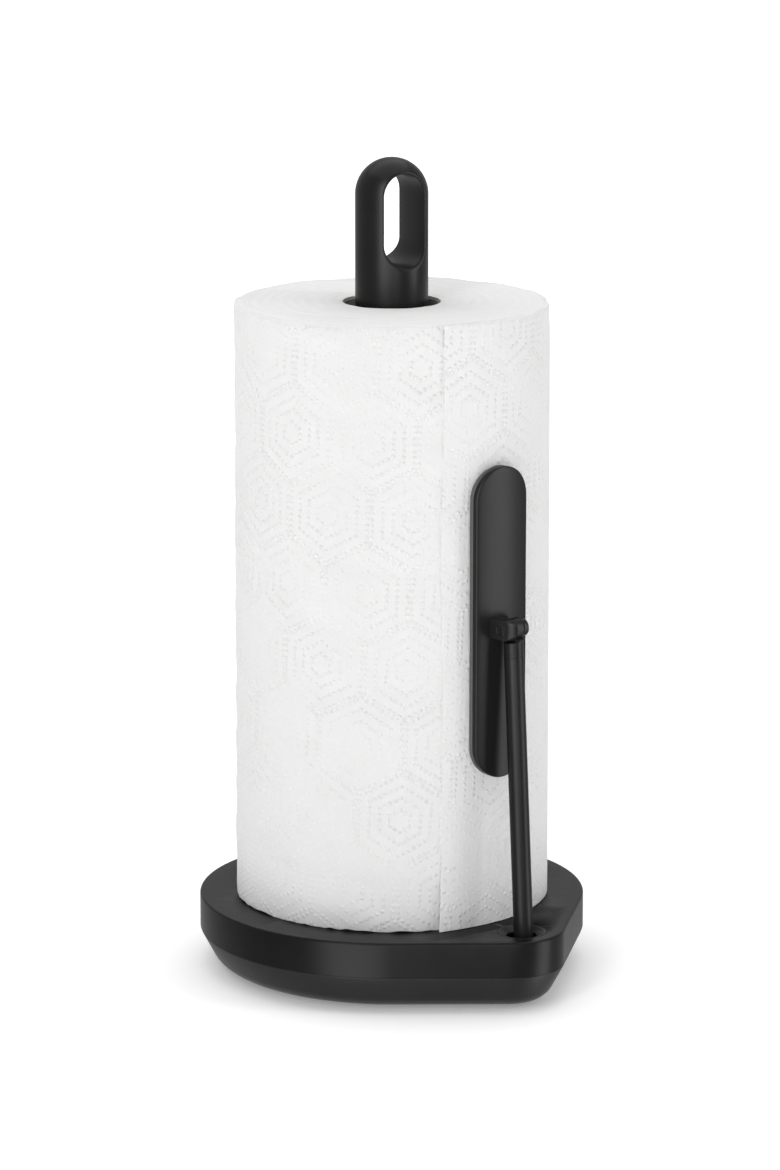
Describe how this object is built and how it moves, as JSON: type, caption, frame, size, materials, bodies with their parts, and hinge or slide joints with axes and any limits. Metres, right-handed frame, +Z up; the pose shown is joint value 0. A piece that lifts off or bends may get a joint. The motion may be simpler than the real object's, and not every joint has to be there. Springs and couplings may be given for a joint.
{
  "type": "paper towel holder",
  "caption": "Standing holder for a paper towel roll: weighted teardrop base, central post with a finger slot, and a sprung side arm with a hinged pad that steadies the roll while tearing.",
  "frame": {"origin": "on the post's axis, on the surface that the holder stands on", "axes": "+Z up along the post, -Y towards the arm and pad, +X to the right seen from the arm's side"},
  "size_m": [0.18, 0.1986, 0.3794],
  "materials": {
    "black_plastic": "satin",
    "black_paint": "satin",
    "ballast_iron": "rough",
    "bright_steel": "satin",
    "brass_insert": "satin",
    "foot_rubber": "matte",
    "liner_rubber": "matte",
    "cardboard": "matte",
    "paper": "matte, embossed"
  },
  "bodies": {
    "base": {"base_shell": "black_plastic", "under_tray": "black_plastic", "ballast_plate": "ballast_iron", "foot_pad": "foot_rubber", "tray_screws": "bright_steel", "post_tube": "black_plastic", "post_insert": "brass_insert", "post_bolt": "bright_steel", "post_washer": "bright_steel", "handle": "black_plastic", "socket_bezel": "black_plastic", "pivot_bracket": "bright_steel", "bracket_screws": "bright_steel", "pivot_pin": "bright_steel", "pin_rings": "bright_steel", "torsion_spring": "bright_steel"},
    "arm": {"arm_hub": "black_plastic", "arm_rod": "black_paint", "arm_head": "black_plastic"},
    "pad": {"pad_shell": "black_plastic", "pad_liner": "liner_rubber", "hinge_pin": "black_plastic", "pin_clip": "bright_steel"},
    "core": {"cardboard_core": "cardboard"},
    "roll": {"paper_roll": "paper", "loose_sheet": "paper"}
  },
  "joints": [
    {"name": "arm_swing", "type": "hinge", "parent": "base", "child": "arm", "pos_m": [0, -0.094, 0.024], "axis": [1, 0, 0], "range_deg": [0, 5], "stiffness_Nm_per_rad": 0.8, "springref_deg": -20.05},
    {"name": "pad_tilt", "type": "hinge", "parent": "arm", "child": "pad", "pos_m": [0, -0.085, 0.1745], "axis": [1, 0, 0], "range_deg": [-5, 0]},
    {"name": "roll_lift", "type": "slide", "parent": "base", "child": "core", "axis": [0, 0, 1], "range_m": [0, 0.35]},
    {"name": "roll_spin", "type": "hinge", "parent": "core", "child": "roll", "pos_m": [0, 0, 0.034], "axis": [0, 0, 1], "continuous": true}
  ],
  "couplings": [
    {"joint": "pad_tilt", "follows": "arm_swing", "ratio": -1}
  ]
}
